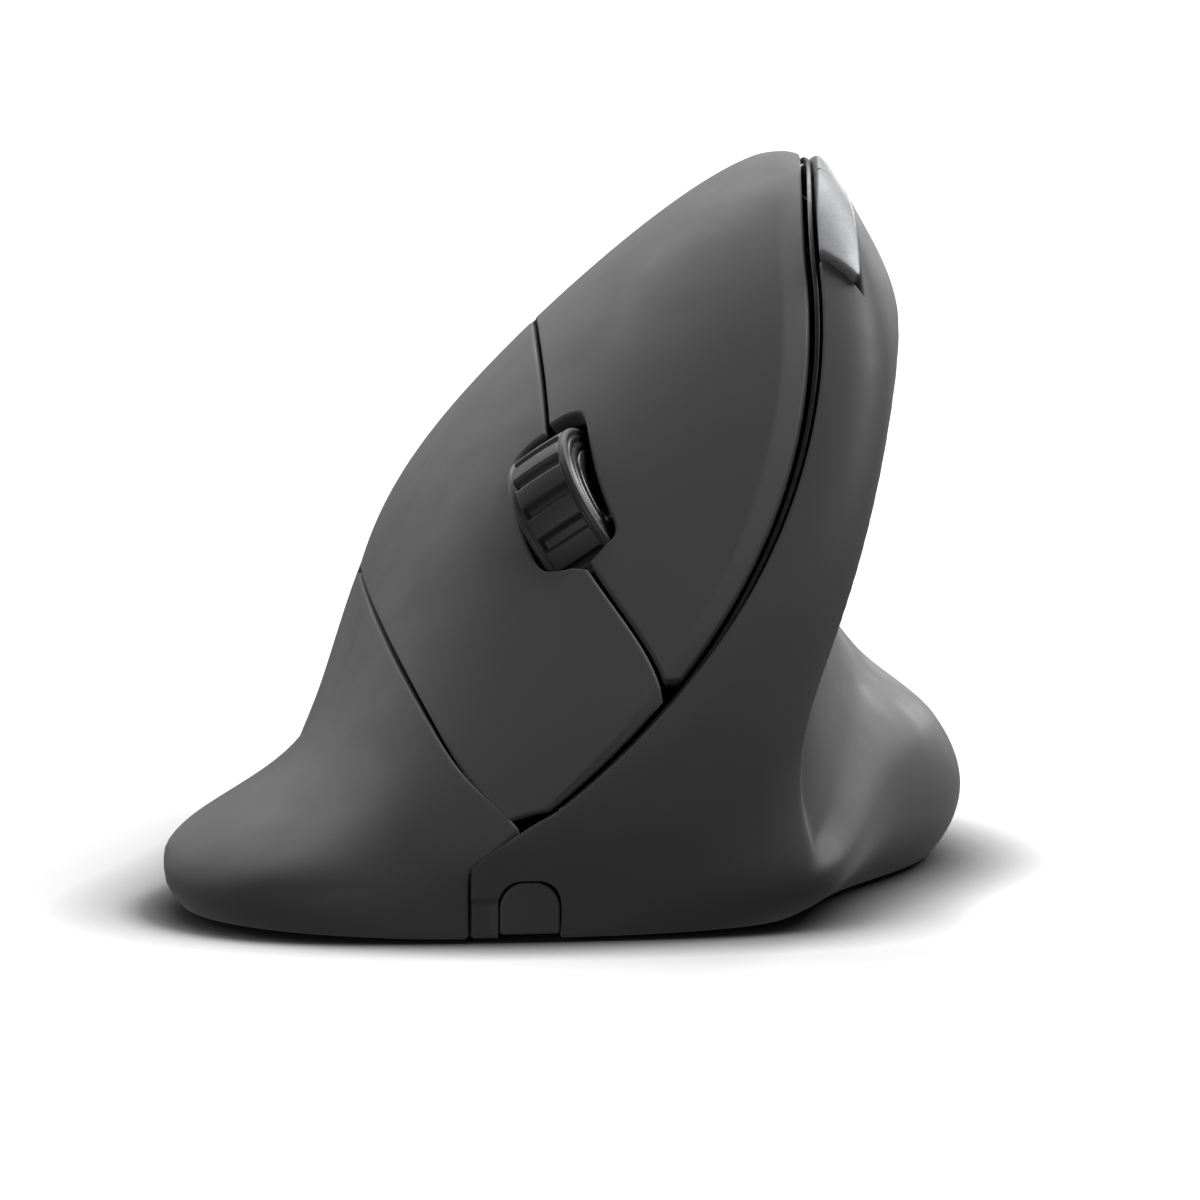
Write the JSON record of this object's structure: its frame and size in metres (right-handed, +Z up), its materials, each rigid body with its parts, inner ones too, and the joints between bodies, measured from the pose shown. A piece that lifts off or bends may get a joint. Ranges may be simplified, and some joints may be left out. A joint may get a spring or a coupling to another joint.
{
  "type": "vertical ergonomic mouse",
  "caption": "Vertical ergonomic computer mouse with a leaning hand-shaped body, finger buttons, a scroll wheel, thumb buttons, a flared palm fin and a thumb ledge.",
  "frame": {"origin": "middle of the bounding box on the desk, under the glide feet", "axes": "+Z up, -Y towards the nose that points away from the user, +X towards the thumb side"},
  "size_m": [0.0831, 0.12, 0.0722],
  "materials": {
    "base": "fine-textured black moulding",
    "thumb_casing": "soft-touch dark grey",
    "palm_casing": "soft-touch dark grey",
    "band": "gloss black",
    "blank": "soft-touch dark grey",
    "finger_buttons": "soft-touch dark grey",
    "thumb_buttons": "satin silver paint",
    "tyre": "matte rubber",
    "hub": "gloss black",
    "steel": "turned steel",
    "inner_plastic": "plain moulding",
    "encoder": "plain moulding",
    "board": "solder-masked board",
    "switches": "plain moulding",
    "chips": "moulded package",
    "lens": "clear moulding",
    "cell": "wrapped cell",
    "contacts": "plated spring steel",
    "cover": "fine-textured black moulding",
    "knob": "plain moulding",
    "feet": "slick low-friction sheet"
  },
  "bodies": {
    "housing": {"base_plate": "base", "left_shell": "thumb_casing", "right_shell": "palm_casing", "band_trim": "band", "cable_blank": "blank", "chassis": "inner_plastic", "button_board": "board", "primary_switch": "switches", "secondary_switch": "switches", "click_switch": "switches", "thumb_board": "board", "thumb_switches": "switches", "main_board": "board", "controller_chip": "chips", "motion_sensor": "chips", "sensor_lens": "lens", "battery": "cell", "contact_plate": "contacts", "contact_spring": "contacts", "power_switch": "switches", "glide_feet": "feet", "base_screws": "steel", "board_screws": "steel"},
    "primary_button": {"primary_button": "finger_buttons"},
    "secondary_button": {"secondary_button": "finger_buttons"},
    "forward_button": {"forward_button": "thumb_buttons"},
    "back_button": {"back_button": "thumb_buttons"},
    "cradle": {"wheel_cradle": "inner_plastic", "encoder": "encoder"},
    "wheel": {"wheel_tyre": "tyre", "wheel_hub": "hub", "wheel_axle": "steel"},
    "power_knob": {"power_knob": "knob"},
    "battery_cover": {"battery_cover": "cover"}
  },
  "joints": [
    {"name": "primary_press", "type": "hinge", "parent": "housing", "child": "primary_button", "pos_m": [0.01452, 0.01422, 0.0628], "axis": [0.7779, -0.2427, 0.5797], "range_deg": [0, 0.3], "stiffness_Nm_per_rad": 4},
    {"name": "secondary_press", "type": "hinge", "parent": "housing", "child": "secondary_button", "pos_m": [-0.01088, 0.01381, 0.03911], "axis": [0.5791, -0.0659, 0.8126], "range_deg": [0, 0.3], "stiffness_Nm_per_rad": 4},
    {"name": "wheel_click", "type": "slide", "parent": "housing", "child": "cradle", "axis": [0.6317, 0.5184, -0.5764], "range_m": [0, 0.0005], "stiffness_N_per_m": 1500},
    {"name": "wheel_spin", "type": "hinge", "parent": "cradle", "child": "wheel", "pos_m": [0.00007, -0.03427, 0.03642], "axis": [0.7697, -0.3313, 0.5457], "continuous": true},
    {"name": "forward_press", "type": "slide", "parent": "housing", "child": "forward_button", "axis": [-0.5528, 0.2391, -0.7983], "range_m": [0, 0.0004], "stiffness_N_per_m": 1500},
    {"name": "back_press", "type": "slide", "parent": "housing", "child": "back_button", "axis": [-0.5528, 0.2391, -0.7983], "range_m": [0, 0.0004], "stiffness_N_per_m": 1500},
    {"name": "power_slide", "type": "slide", "parent": "housing", "child": "power_knob", "axis": [0, 1, 0], "range_m": [0, 0.002]},
    {"name": "cover_off", "type": "slide", "parent": "housing", "child": "battery_cover", "axis": [0, 0, -1], "range_m": [0, 0.015]}
  ]
}
